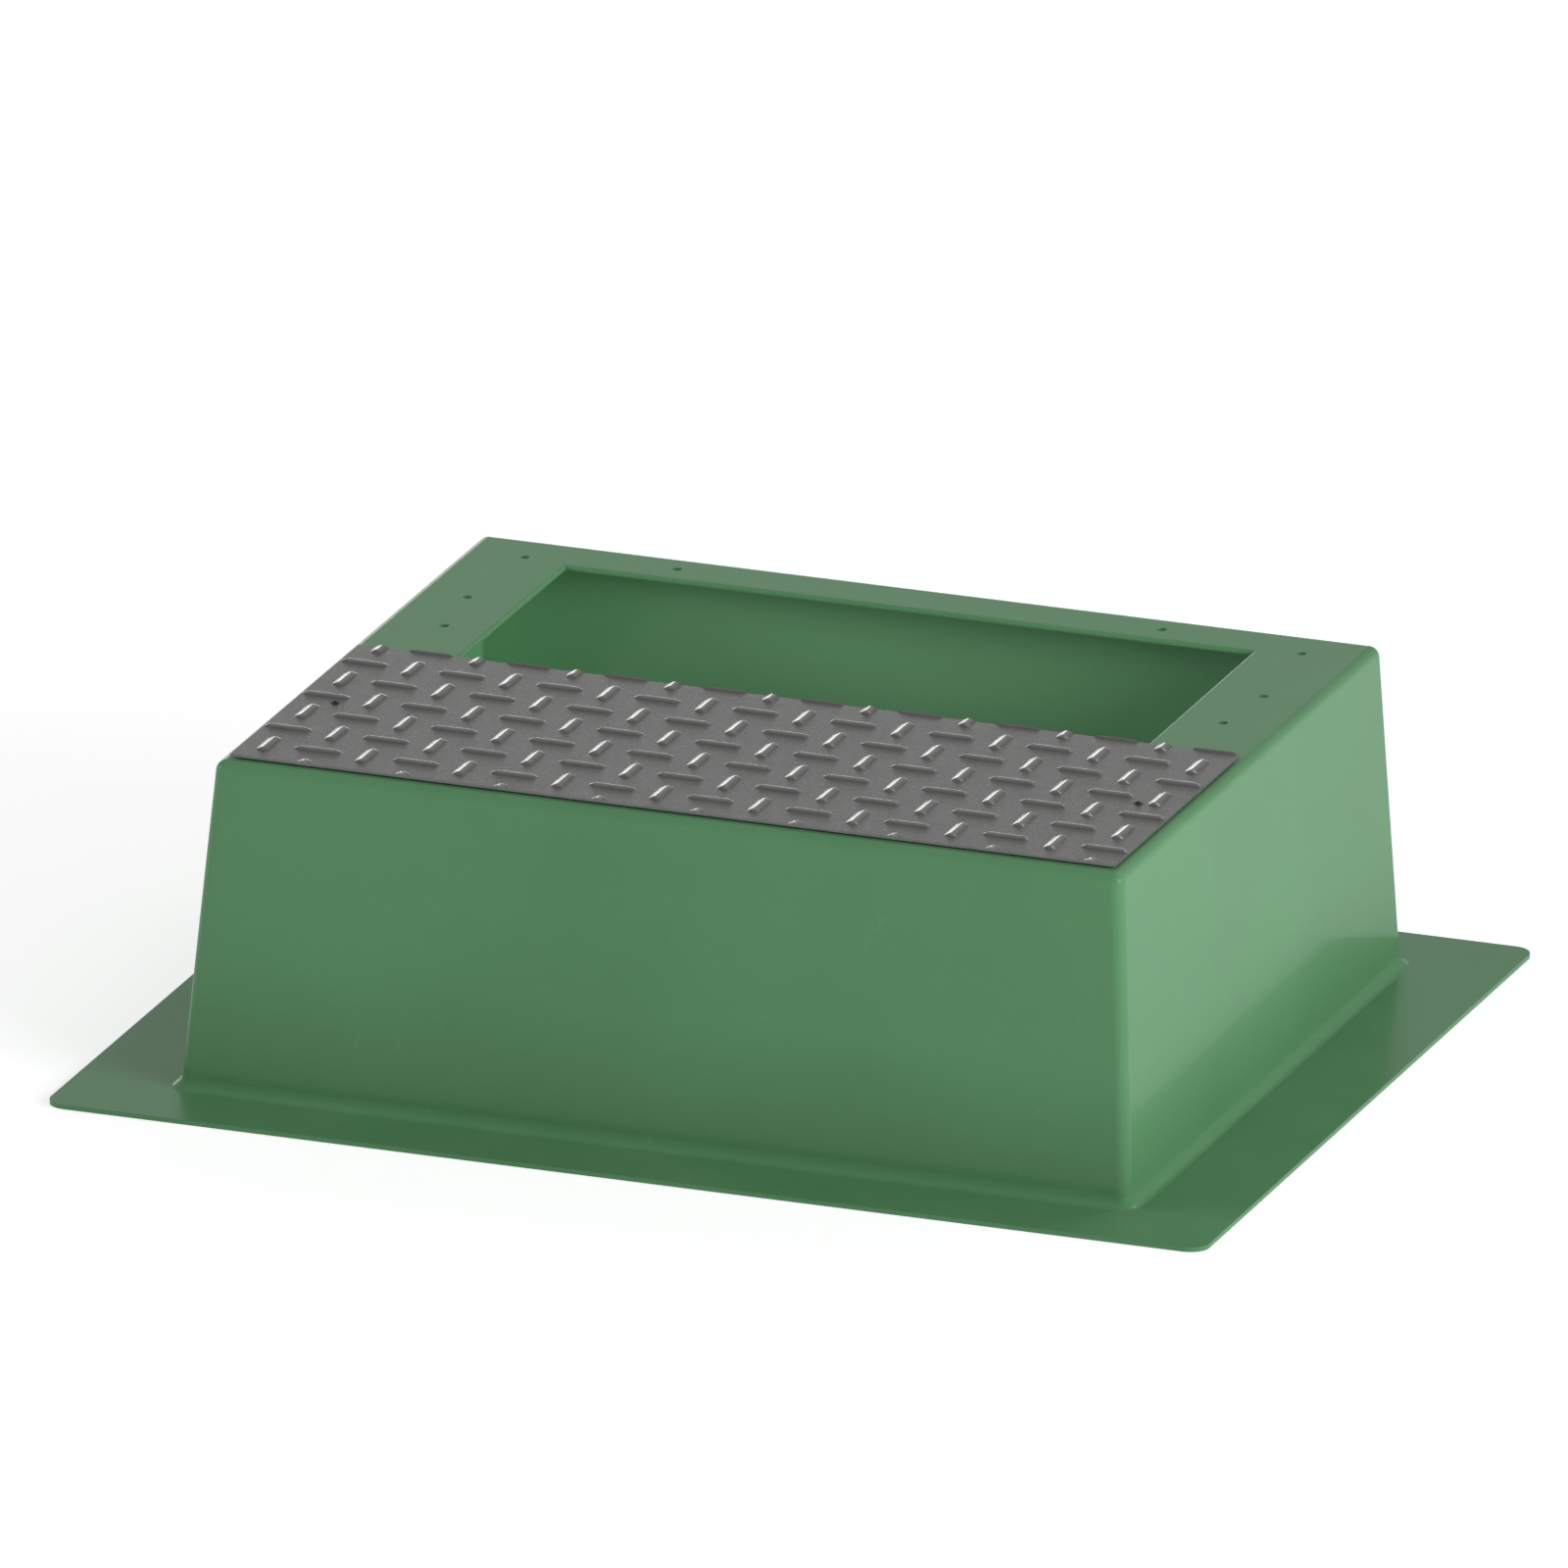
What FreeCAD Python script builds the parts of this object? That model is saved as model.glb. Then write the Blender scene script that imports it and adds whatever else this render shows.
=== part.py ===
import FreeCAD, Part
import Sketcher
import math
import os
from enum import IntEnum

# Moulded ground plinth for an outdoor cabinet, with a tread-plate cover over its front half.
# Millimetres. The origin is on the ground under the middle of the plinth: X runs across the
# front, the front looks along -Y, and Z is up.

SIZES = {
    # one-piece moulded shell
    "deck_width": 1000.0,
    "deck_depth": 850.0,
    "plinth_height": 360.0,
    "laminate": 5.0,
    "draft_angle": 3.9,
    "edge_round": 12.0,
    "foot_round": 13.0,
    "flange_side": 114.0,
    "flange_end": 97.5,
    "flange_corner": 22.0,
    # opening in the deck, given by the rims left round it
    "side_rim": 118.5,
    "rear_rim": 73.0,
    "front_rim": 95.0,
    "opening_round": 4.0,
    # holes for the cabinet's bolts, given from the deck's outline
    "cabinet_hole": 11.0,
    "side_inset": 68.5,
    "side_front_row": 318.5,
    "side_rear_row": 62.0,
    "middle_inset": 58.5,
    "middle_row": 216.0,
    "rear_inset": 39.5,
    "rear_span": 539.0,
    # flat bars under the deck that spread the load of the bolts
    "bar_thickness": 6.0,
    "bar_width": 80.0,
    "bar_setback": 17.5,
    "bar_end_inset": 20.0,
    "bar_gap": 4.0,
    "rear_bar_width": 36.0,
    "rear_bar_setback": 18.0,
    # tread cover, cut from a larger sheet
    "cover_side_margin": 12.5,
    "cover_front_margin": 15.5,
    "cover_depth": 404.0,
    "plate_thickness": 3.0,
    "lug_length": 52.0,
    "lug_width": 15.0,
    "lug_end": 9.0,
    "lug_height": 3.0,
    "lug_flank_angle": 55.0,
    "lug_pitch_across": 54.2,
    "lug_pitch_along": 60.1,
    "first_column": 26.5,
    "first_row": 13.5,
    # cover screws and their nuts
    "screw_inset": 44.0,
    "screw_row": 205.0,
    "screw_thread": 5.0,
    "screw_length": 25.0,
    "screw_head": 9.5,
    "screw_head_height": 2.75,
    "screw_socket": 3.0,
    "screw_socket_depth": 1.6,
    "screw_clearance": 0.5,
    "screw_seat_margin": 1.0,
    "screw_seat_depth": 0.3,
    "screw_nut_flats": 8.0,
    "screw_nut_height": 4.7,
    # sealing strips between the cover and what it lies on
    "strip_thickness": 2.0,
    "strip_width": 50.0,
    "strip_inset": 8.0,
    "strip_end_inset": 3.0,
    "rear_strip_inset": 5.0,
    # angle rail under the cover's rear edge, and the cleats that hold it
    "angle_leg": 40.0,
    "angle_thickness": 4.0,
    "angle_root": 4.0,
    "rail_setback": 8.0,
    "rail_end_clearance": 1.0,
    "cleat_overlap": 58.5,
    "cleat_reach": 81.5,
    # bolts: hexagon ones through rail and cleat, countersunk ones through deck and cleat
    "bolt_thread": 8.0,
    "bolt_clearance": 0.5,
    "thread_clearance": 0.05,
    "nut_flats": 13.0,
    "nut_height": 6.5,
    "hex_head_height": 5.3,
    "hex_bolt_length": 16.5,
    "sunk_head": 15.0,
    "sunk_head_height": 4.0,
    "sunk_head_clearance": 0.2,
    "sunk_bolt_length": 25.0,
    "sunk_socket": 5.0,
    "sunk_socket_depth": 2.5,
    "rail_bolt_inset": 16.5,
    "rail_bolt_pitch": 26.0,
    "rail_bolt_rise": 10.0,
    "deck_bolt_inset": 16.0,
    "deck_bolt_pitch": 34.0,
    "deck_bolt_setback": 22.5,
}

doc = FreeCAD.newDocument("cabinet_plinth")
sheet = doc.addObject("Spreadsheet::Sheet", "Sizes")
for row, (alias, value) in enumerate(SIZES.items(), start=1):
    sheet.set(f"A{row}", alias)
    sheet.set(f"B{row}", str(value))
    sheet.setAlias(f"B{row}", alias)
doc.recompute()

# Places that several pieces share, as expressions of the sheet's cells. Across the front they
# are distances from the middle; along Y and Z they are signed places.
HALF_WIDTH = "(Sizes.deck_width / 2)"
HALF_DEPTH = "(Sizes.deck_depth / 2)"
DECK_TOP = "Sizes.plinth_height"
DECK_UNDERSIDE = "(Sizes.plinth_height - Sizes.laminate)"
FOOT_SPREAD = "(Sizes.plinth_height * tan(Sizes.draft_angle))"
LEVEL_WALL = "(Sizes.laminate / cos(Sizes.draft_angle))"
OPENING_X = f"({HALF_WIDTH} - Sizes.side_rim)"
OPENING_REAR = f"({HALF_DEPTH} - Sizes.rear_rim)"
OPENING_FRONT = f"(Sizes.front_rim - {HALF_DEPTH})"
CABINET_RADIUS = "(Sizes.cabinet_hole / 2)"
SIDE_HOLES = [
    (f"({HALF_WIDTH} - Sizes.side_inset)", f"({HALF_DEPTH} - Sizes.side_front_row)"),
    (f"({HALF_WIDTH} - Sizes.middle_inset)", f"({HALF_DEPTH} - Sizes.middle_row)"),
    (f"({HALF_WIDTH} - Sizes.side_inset)", f"({HALF_DEPTH} - Sizes.side_rear_row)"),
]
REAR_HOLE = ("(Sizes.rear_span / 2)", f"({HALF_DEPTH} - Sizes.rear_inset)")
COVER_X = f"({HALF_WIDTH} - Sizes.cover_side_margin)"
COVER_FRONT = f"(Sizes.cover_front_margin - {HALF_DEPTH})"
COVER_REAR = f"({COVER_FRONT} + Sizes.cover_depth)"
COVER_UNDERSIDE = f"({DECK_TOP} + Sizes.strip_thickness)"
COVER_TOP = f"({COVER_UNDERSIDE} + Sizes.plate_thickness)"
SCREW_X = f"({COVER_X} - Sizes.screw_inset)"
SCREW_Y = f"({COVER_FRONT} + Sizes.screw_row)"
SCREW_SEAT = f"({COVER_TOP} - Sizes.screw_seat_depth)"
SCREW_HOLE = "((Sizes.screw_thread + Sizes.screw_clearance) / 2)"
BOLT_HOLE = "((Sizes.bolt_thread + Sizes.bolt_clearance) / 2)"
BAR_X = f"({OPENING_X} + Sizes.bar_setback)"
BAR_UNDERSIDE = f"({DECK_UNDERSIDE} - Sizes.bar_thickness)"
STRIP_X = f"({COVER_X} - Sizes.strip_inset)"
STRIP_FRONT = f"({COVER_FRONT} + Sizes.strip_inset)"
RAIL_X = f"({OPENING_X} - Sizes.rail_end_clearance)"
RAIL_REAR = f"({COVER_REAR} - Sizes.rail_setback)"
CLEAT_REAR = f"({RAIL_REAR} - Sizes.angle_thickness)"
RAIL_BOLT_Z = f"({DECK_TOP} - Sizes.angle_leg + Sizes.rail_bolt_rise)"
RAIL_BOLTS_X = [
    f"({RAIL_X} - Sizes.rail_bolt_inset)",
    f"({RAIL_X} - Sizes.rail_bolt_inset - Sizes.rail_bolt_pitch)",
]
DECK_BOLTS_X = [
    f"({BAR_X} + Sizes.deck_bolt_inset)",
    f"({BAR_X} + Sizes.deck_bolt_inset + Sizes.deck_bolt_pitch)",
]
DECK_BOLT_Y = f"({CLEAT_REAR} - Sizes.deck_bolt_setback)"

SIDES = {"left": -1, "right": 1}
X_LINE = FreeCAD.Vector(1, 0, 0)
TOUCH = 0.01
SUB_PARTS = []


class Point(IntEnum):
    """Sketcher's numbers for its own origin and for the points of a line or a circle."""

    ORIGIN = -1
    START = 1
    END = 2
    CENTRE = 3


def keep(thing, label):
    """Names an object of the document as a finished sub-part."""
    thing.Label = label
    SUB_PARTS.append(thing)


def place(thing, x="0", y="0", z="0"):
    """Ties an object's place to the sheet."""
    for axis, expression in (("x", x), ("y", y), ("z", z)):
        thing.setExpression(f"Placement.Base.{axis}", expression)
    return thing


def turn(thing, axis, degrees):
    """Turns an object that stands at the origin."""
    thing.Placement = FreeCAD.Placement(FreeCAD.Vector(), FreeCAD.Rotation(axis, degrees))
    return thing


# ---------------------------------------------------------------- sketches


def new_sketch(body, name, height="0", role="XY_Plane"):
    """A sketch on one of the body's origin planes, moved along the plane's normal."""
    sketch = body.newObject("Sketcher::SketchObject", name)
    planes = body.Origin.OriginFeatures
    sketch.AttachmentSupport = (next(plane for plane in planes if plane.Role == role), [""])
    sketch.MapMode = "FlatFace"
    sketch.setExpression("AttachmentOffset.Base.z", height)
    return sketch


def dimension(sketch, kind, *ends, size):
    """Adds a dimension to a sketch and binds it to the sheet."""
    index = sketch.addConstraint(Sketcher.Constraint(kind, *ends, 1.0))
    sketch.setExpression(f"Constraints[{index}]", size)


def locate(sketch, kind, shape, size, point=Point.START):
    """Sets how far a shape's point lies from the sketch's origin, one way and signed."""
    dimension(sketch, kind, Point.ORIGIN, Point.START, shape, point, size=size)


def outline(sketch, corners):
    """Lines through the corners, joined end to end; level and upright ones stay so."""
    points = [FreeCAD.Vector(x, y, 0) for x, y in corners]
    lines = []
    for start, end in zip(points, points[1:] + points[:1]):
        line = sketch.addGeometry(Part.LineSegment(start, end), False)
        if start.y == end.y:
            sketch.addConstraint(Sketcher.Constraint("Horizontal", line))
        if start.x == end.x:
            sketch.addConstraint(Sketcher.Constraint("Vertical", line))
        lines.append(line)
    for line, following in zip(lines, lines[1:] + lines[:1]):
        ends = (line, Point.END, following, Point.START)
        sketch.addConstraint(Sketcher.Constraint("Coincident", *ends))
    return lines


def rectangle(sketch, left, right, front, rear):
    """A rectangle between four signed distances from the sketch's origin."""
    lines = outline(sketch, [(-9, -9), (9, -9), (9, 9), (-9, 9)])
    locate(sketch, "DistanceX", lines[0], left)
    locate(sketch, "DistanceX", lines[1], right)
    locate(sketch, "DistanceY", lines[0], front)
    locate(sketch, "DistanceY", lines[2], rear)


def circle(sketch, x, y, radius):
    ring = sketch.addGeometry(Part.Circle(FreeCAD.Vector(), FreeCAD.Vector(0, 0, 1), 1.0), False)
    locate(sketch, "DistanceX", ring, x, Point.CENTRE)
    locate(sketch, "DistanceY", ring, y, Point.CENTRE)
    dimension(sketch, "Radius", ring, size=radius)


def circle_pair(sketch, x, y, radius):
    """Two like circles, left and right of the middle."""
    for sign in SIDES.values():
        circle(sketch, f"{sign} * {x}", y, radius)


def lug_outline(sketch, x, y, along_x):
    """A long six-sided lug with pointed ends, about a centre; its length lies along X or Y."""
    corners = [(-6, -2), (6, -2), (8, 0), (6, 2), (-6, 2), (-8, 0)]
    long_way, short_way = ("DistanceX", "DistanceY") if along_x else ("DistanceY", "DistanceX")
    long_centre, short_centre = (x, y) if along_x else (y, x)
    if not along_x:
        corners = [(across, along) for along, across in corners]
    lines = outline(sketch, corners)
    shoulder = "(Sizes.lug_length / 2 - Sizes.lug_end)"
    tip = "Sizes.lug_length / 2"
    for line, sign, reach in ((lines[0], -1, shoulder), (lines[1], 1, shoulder),
                              (lines[2], 1, tip), (lines[3], 1, shoulder),
                              (lines[4], -1, shoulder), (lines[5], -1, tip)):
        locate(sketch, long_way, line, f"{long_centre} + {sign} * {reach}")
    for line, sign in ((lines[0], -1), (lines[3], 1)):
        locate(sketch, short_way, line, f"{short_centre} + {sign} * Sizes.lug_width / 2")
    for line in (lines[2], lines[5]):
        locate(sketch, short_way, line, short_centre)


# ---------------------------------------------------------------- features


def pad(body, sketch, length, taper="0", flip=False):
    feature = body.newObject("PartDesign::Pad", f"{sketch.Name}_pad")
    feature.Profile = sketch
    feature.Reversed = flip
    feature.setExpression("Length", length)
    feature.setExpression("TaperAngle", taper)
    doc.recompute()


def pocket(body, sketch, length=None, taper="0", flip=False, refine=True):
    """Cuts a sketch out of the body against its normal, or along it where flipped."""
    before = body.Shape.Volume
    feature = body.newObject("PartDesign::Pocket", f"{sketch.Name}_pocket")
    feature.Profile = sketch
    feature.Refine = refine
    feature.Reversed = flip
    feature.setExpression("TaperAngle", taper)
    if length is None:
        feature.Type = "ThroughAll"
    else:
        feature.setExpression("Length", length)
    doc.recompute()
    if not body.Shape.Volume < before:
        raise RuntimeError(f"{feature.Name} cut nothing")


def fillet(body, name, radius, wanted):
    """Rounds the edges of the body's last feature that the test picks."""
    base = body.Tip
    chosen = [f"Edge{number}" for number, edge in enumerate(base.Shape.Edges, 1) if wanted(edge)]
    feature = body.newObject("PartDesign::Fillet", name)
    feature.Base = (base, chosen)
    feature.setExpression("Radius", radius)
    doc.recompute()


def lies_at(edge, height):
    """Whether an edge lies flat at a height."""
    bounds = edge.BoundBox
    return abs(bounds.ZMin - height) < TOUCH and abs(bounds.ZMax - height) < TOUCH


def within(edge, reach_x, reach_y):
    """Whether an edge stays inside a rectangle about the middle."""
    bounds = edge.BoundBox
    inside_x = max(-bounds.XMin, bounds.XMax) < reach_x
    return inside_x and max(-bounds.YMin, bounds.YMax) < reach_y


# ---------------------------------------------------------------- primitives and fasteners


def cylinder(name, diameter, length):
    solid = doc.addObject("Part::Cylinder", name)
    solid.setExpression("Radius", f"{diameter} / 2")
    solid.setExpression("Height", length)
    return solid


def hexagon(name, flats, length):
    solid = doc.addObject("Part::Prism", name)
    solid.Polygon = 6
    solid.setExpression("Circumradius", f"{flats} / 2 / cos(30)")
    solid.setExpression("Height", length)
    return solid


def fuse(name, *pieces):
    joined = doc.addObject("Part::MultiFuse", name)
    joined.Shapes = list(pieces)
    joined.Refine = True
    return joined


def cut(name, base, tool):
    left = doc.addObject("Part::Cut", name)
    left.Base = base
    left.Tool = tool
    return left


def keep_group(label, pieces):
    """Names several separate solids as one sub-part."""
    bundle = doc.addObject("Part::Compound", f"{label}_group")
    bundle.Links = pieces
    keep(bundle, label)


def nut(name, flats, height, thread):
    """A hexagon nut that stands on Z = 0, its thread's bore along Z."""
    blank = hexagon(f"{name}_blank", flats, height)
    bore = cylinder(f"{name}_bore", f"({thread} + 2 * Sizes.thread_clearance)", height)
    return cut(name, blank, bore)


def hexagon_bolt(name):
    """A hexagon bolt whose head stands on Z = 0, its shank below."""
    head = hexagon(f"{name}_head", "Sizes.nut_flats", "Sizes.hex_head_height")
    shank = cylinder(f"{name}_shank", "Sizes.bolt_thread", "Sizes.hex_bolt_length")
    place(shank, z="-Sizes.hex_bolt_length")
    return fuse(name, head, shank)


def countersunk_bolt(name):
    """A countersunk socket bolt whose flat head ends at Z = 0, its shank below."""
    head = doc.addObject("Part::Cone", f"{name}_head")
    head.setExpression("Radius1", "Sizes.bolt_thread / 2")
    head.setExpression("Radius2", "Sizes.sunk_head / 2")
    head.setExpression("Height", "Sizes.sunk_head_height")
    place(head, z="-Sizes.sunk_head_height")
    shank = cylinder(f"{name}_shank", "Sizes.bolt_thread", "Sizes.sunk_bolt_length")
    place(shank, z="-Sizes.sunk_bolt_length")
    solid = fuse(f"{name}_solid", head, shank)
    socket = hexagon(f"{name}_socket", "Sizes.sunk_socket", "Sizes.sunk_socket_depth")
    place(socket, z="-Sizes.sunk_socket_depth")
    return cut(name, solid, socket)


def button_screw(name):
    """A button-head socket screw whose domed head stands on Z = 0, its shank below."""
    blank = cylinder(f"{name}_blank", "Sizes.screw_head", "Sizes.screw_head_height")
    rise = "Sizes.screw_head_height"
    ball = doc.addObject("Part::Sphere", f"{name}_ball")
    ball_radius = f"((Sizes.screw_head ^ 2 / 4 + {rise} ^ 2) / (2 * {rise}))"
    ball.setExpression("Radius", ball_radius)
    place(ball, z=f"{rise} - {ball_radius}")
    dome = doc.addObject("Part::Common", f"{name}_dome")
    dome.Base = blank
    dome.Tool = ball
    shank = cylinder(f"{name}_shank", "Sizes.screw_thread", "Sizes.screw_length")
    place(shank, z="-Sizes.screw_length")
    solid = fuse(f"{name}_solid", dome, shank)
    socket = hexagon(f"{name}_socket", "Sizes.screw_socket", "Sizes.screw_socket_depth")
    place(socket, z=f"{rise} - Sizes.screw_socket_depth")
    return cut(name, solid, socket)


# ---------------------------------------------------------------- moulded shell


def deck_bolt_circles(sketch, radius):
    """The four places where the cleats are bolted through the deck."""
    for x in DECK_BOLTS_X:
        circle_pair(sketch, x, DECK_BOLT_Y, radius)


def make_shell():
    """The tapered body, its deck and its ground flange, moulded as one laminate."""
    body = doc.addObject("PartDesign::Body", "shell")
    block = new_sketch(body, "deck_outline", DECK_TOP)
    rectangle(block, f"-{HALF_WIDTH}", HALF_WIDTH, f"-{HALF_DEPTH}", HALF_DEPTH)
    pad(body, block, DECK_TOP, taper="Sizes.draft_angle", flip=True)
    fillet(body, "outer_rounds", "Sizes.edge_round", lambda edge: edge.BoundBox.ZMax > TOUCH)

    side = f"({HALF_WIDTH} + {FOOT_SPREAD} + Sizes.flange_side)"
    end = f"({HALF_DEPTH} + {FOOT_SPREAD} + Sizes.flange_end)"
    ground = new_sketch(body, "flange_outline")
    rectangle(ground, f"-{side}", side, f"-{end}", end)
    pad(body, ground, "Sizes.laminate")
    tip = body.Shape.BoundBox
    fillet(
        body,
        "flange_corners",
        "Sizes.flange_corner",
        lambda edge: is_upright(edge) and not within(edge, tip.XMax - TOUCH, tip.YMax - TOUCH),
    )
    fillet(
        body,
        "foot_rounds",
        "Sizes.foot_round",
        lambda edge: lies_at(edge, SIZES["laminate"])
        and within(edge, tip.XMax - SIZES["flange_side"] / 2, tip.YMax - SIZES["flange_end"] / 2),
    )

    inner_x = f"({HALF_WIDTH} + {FOOT_SPREAD} - {LEVEL_WALL})"
    inner_y = f"({HALF_DEPTH} + {FOOT_SPREAD} - {LEVEL_WALL})"
    cavity = new_sketch(body, "cavity_outline")
    rectangle(cavity, f"-{inner_x}", inner_x, f"-{inner_y}", inner_y)
    pocket(body, cavity, DECK_UNDERSIDE, taper="-Sizes.draft_angle", flip=True)
    reach_x = tip.XMax - SIZES["flange_side"] - SIZES["laminate"] / 2
    reach_y = tip.YMax - SIZES["flange_end"] - SIZES["laminate"] / 2
    ceiling = SIZES["plinth_height"] - SIZES["laminate"]
    fillet(
        body,
        "inner_rounds",
        "Sizes.edge_round - Sizes.laminate",
        lambda edge: within(edge, reach_x, reach_y)
        and (lies_at(edge, ceiling) or abs(edge.Length - slope_length(ceiling)) < TOUCH),
    )
    fillet(
        body,
        "lip_rounds",
        "Sizes.foot_round + Sizes.laminate",
        lambda edge: within(edge, reach_x, reach_y) and lies_at(edge, 0),
    )

    opening = new_sketch(body, "opening_outline", DECK_TOP)
    rectangle(opening, f"-{OPENING_X}", OPENING_X, OPENING_FRONT, OPENING_REAR)
    pocket(body, opening)
    rim_x = (SIZES["deck_width"] - SIZES["side_rim"]) / 2
    rim_y = (SIZES["deck_depth"] - SIZES["rear_rim"]) / 2
    fillet(
        body,
        "opening_rounds",
        "Sizes.opening_round",
        lambda edge: within(edge, rim_x, rim_y) and lies_at(edge, SIZES["plinth_height"]),
    )
    holes = new_sketch(body, "deck_holes", DECK_TOP)
    for x, y in SIDE_HOLES + [REAR_HOLE]:
        circle_pair(holes, x, y, CABINET_RADIUS)
    circle_pair(holes, SCREW_X, SCREW_Y, SCREW_HOLE)
    deck_bolt_circles(holes, BOLT_HOLE)
    pocket(body, holes)
    seats = new_sketch(body, "bolt_seats", DECK_TOP)
    deck_bolt_circles(seats, "(Sizes.sunk_head / 2 + Sizes.sunk_head_clearance)")
    flare = "atan((Sizes.sunk_head - Sizes.bolt_thread) / 2 / Sizes.sunk_head_height)"
    pocket(body, seats, "Sizes.sunk_head_height", taper=f"-{flare}")
    keep(body, "plinth_shell")


def is_upright(edge):
    """Whether an edge stands straight up."""
    bounds = edge.BoundBox
    level = max(bounds.XLength, bounds.YLength)
    return level < TOUCH and bounds.ZLength > TOUCH


def slope_length(height):
    """Length of a corner line of the tapered cavity between the ground and a height."""
    lean = math.tan(math.radians(SIZES["draft_angle"]))
    return height * math.sqrt(1 + 2 * lean**2)


# ---------------------------------------------------------------- bars under the deck


def make_side_bar(side, sign):
    """A flat bar under one side rim, drilled for the cabinet, cover and cleat bolts."""
    body = doc.addObject("PartDesign::Body", f"bar_{side}")
    blank = new_sketch(body, f"bar_{side}_outline", BAR_UNDERSIDE)
    near = f"{sign} * {BAR_X}"
    far = f"{sign} * ({BAR_X} + Sizes.bar_width)"
    end = f"({HALF_DEPTH} - Sizes.bar_end_inset)"
    rectangle(blank, near, far, f"-{end}", end)
    pad(body, blank, "Sizes.bar_thickness")
    holes = new_sketch(body, f"bar_{side}_holes", DECK_UNDERSIDE)
    for x, y in SIDE_HOLES:
        circle(holes, f"{sign} * {x}", y, CABINET_RADIUS)
    circle(holes, f"{sign} * {SCREW_X}", SCREW_Y, SCREW_HOLE)
    for x in DECK_BOLTS_X:
        circle(holes, f"{sign} * {x}", DECK_BOLT_Y, BOLT_HOLE)
    pocket(body, holes)
    keep(body, f"spreader_bar_{side}")


def make_rear_bar():
    """The flat bar under the rear rim, between the side bars."""
    body = doc.addObject("PartDesign::Body", "bar_rear")
    blank = new_sketch(body, "bar_rear_outline", BAR_UNDERSIDE)
    end = f"({BAR_X} - Sizes.bar_gap)"
    front = f"({OPENING_REAR} + Sizes.rear_bar_setback)"
    rectangle(blank, f"-{end}", end, front, f"{front} + Sizes.rear_bar_width")
    pad(body, blank, "Sizes.bar_thickness")
    holes = new_sketch(body, "bar_rear_holes", DECK_UNDERSIDE)
    circle_pair(holes, *REAR_HOLE, CABINET_RADIUS)
    pocket(body, holes)
    keep(body, "spreader_bar_rear")


# ---------------------------------------------------------------- angle rail and cleats


def angle_bar(name, start, length, rear, top):
    """A length of angle along X, one leg level at the top and one hanging at the rear."""
    body = doc.addObject("PartDesign::Body", name)
    section = new_sketch(body, f"{name}_section", start, role="YZ_Plane")
    corners = [(-9, 9), (0, 9), (0, 0), (-3, 0), (-3, 6), (-9, 6)]
    lines = outline(section, corners)
    leg, thickness = "Sizes.angle_leg", "Sizes.angle_thickness"
    for line, y in ((lines[0], f"{rear} - {leg}"), (lines[1], rear),
                    (lines[3], f"{rear} - {thickness}")):
        locate(section, "DistanceX", line, y)
    for line, z in ((lines[0], top), (lines[2], f"{top} - {leg}"),
                    (lines[4], f"{top} - {thickness}")):
        locate(section, "DistanceY", line, z)
    pad(body, section, length)
    root_y = body.Shape.BoundBox.YMax - SIZES["angle_thickness"]
    root_z = body.Shape.BoundBox.ZMax - SIZES["angle_thickness"]
    fillet(
        body,
        f"{name}_root",
        "Sizes.angle_root",
        lambda edge: lies_at(edge, root_z)
        and abs(edge.BoundBox.YMin - root_y) < TOUCH
        and abs(edge.BoundBox.YMax - root_y) < TOUCH,
    )
    return body


def drill_upright_leg(body, rear, places):
    """Bolt holes along Y through an angle's hanging leg."""
    holes = new_sketch(body, f"{body.Name}_leg_holes", f"-{rear}", role="XZ_Plane")
    for x in places:
        circle(holes, x, RAIL_BOLT_Z, BOLT_HOLE)
    pocket(body, holes, "Sizes.angle_thickness", flip=True)


def make_rail():
    """The angle under the cover's rear edge, its top level with the deck."""
    body = angle_bar("rail", f"-{RAIL_X}", f"2 * {RAIL_X}", RAIL_REAR, DECK_TOP)
    places = [f"{sign} * {x}" for sign in SIDES.values() for x in RAIL_BOLTS_X]
    drill_upright_leg(body, RAIL_REAR, places)
    keep(body, "cover_rail")


def make_cleat(side, sign):
    """The short angle that hangs one end of the rail from the side bar."""
    near = f"({OPENING_X} - Sizes.cleat_overlap)"
    far = f"({OPENING_X} + Sizes.cleat_reach)"
    start = near if sign > 0 else f"-{far}"
    body = angle_bar(f"cleat_{side}", start, f"{far} - {near}", CLEAT_REAR, BAR_UNDERSIDE)
    drill_upright_leg(body, CLEAT_REAR, [f"{sign} * {x}" for x in RAIL_BOLTS_X])
    holes = new_sketch(body, f"cleat_{side}_top_holes", BAR_UNDERSIDE)
    for x in DECK_BOLTS_X:
        circle(holes, f"{sign} * {x}", DECK_BOLT_Y, BOLT_HOLE)
    pocket(body, holes)
    keep(body, f"rail_cleat_{side}")


def large_nut(name):
    return nut(name, "Sizes.nut_flats", "Sizes.nut_height", "Sizes.bolt_thread")


def make_rail_fasteners(side, sign):
    """The hexagon bolts and nuts through the hanging legs of the rail and a cleat."""
    bolts, nuts = [], []
    for number, x in enumerate(RAIL_BOLTS_X, start=1):
        bolt = turn(hexagon_bolt(f"rail_bolt_{side}_{number}"), X_LINE, -90)
        bolts.append(place(bolt, f"{sign} * {x}", RAIL_REAR, RAIL_BOLT_Z))
        ring = turn(large_nut(f"rail_nut_{side}_{number}"), X_LINE, 90)
        face = f"{CLEAT_REAR} - Sizes.angle_thickness"
        nuts.append(place(ring, f"{sign} * {x}", face, RAIL_BOLT_Z))
    keep_group(f"rail_bolts_{side}", bolts)
    keep_group(f"rail_nuts_{side}", nuts)


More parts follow.
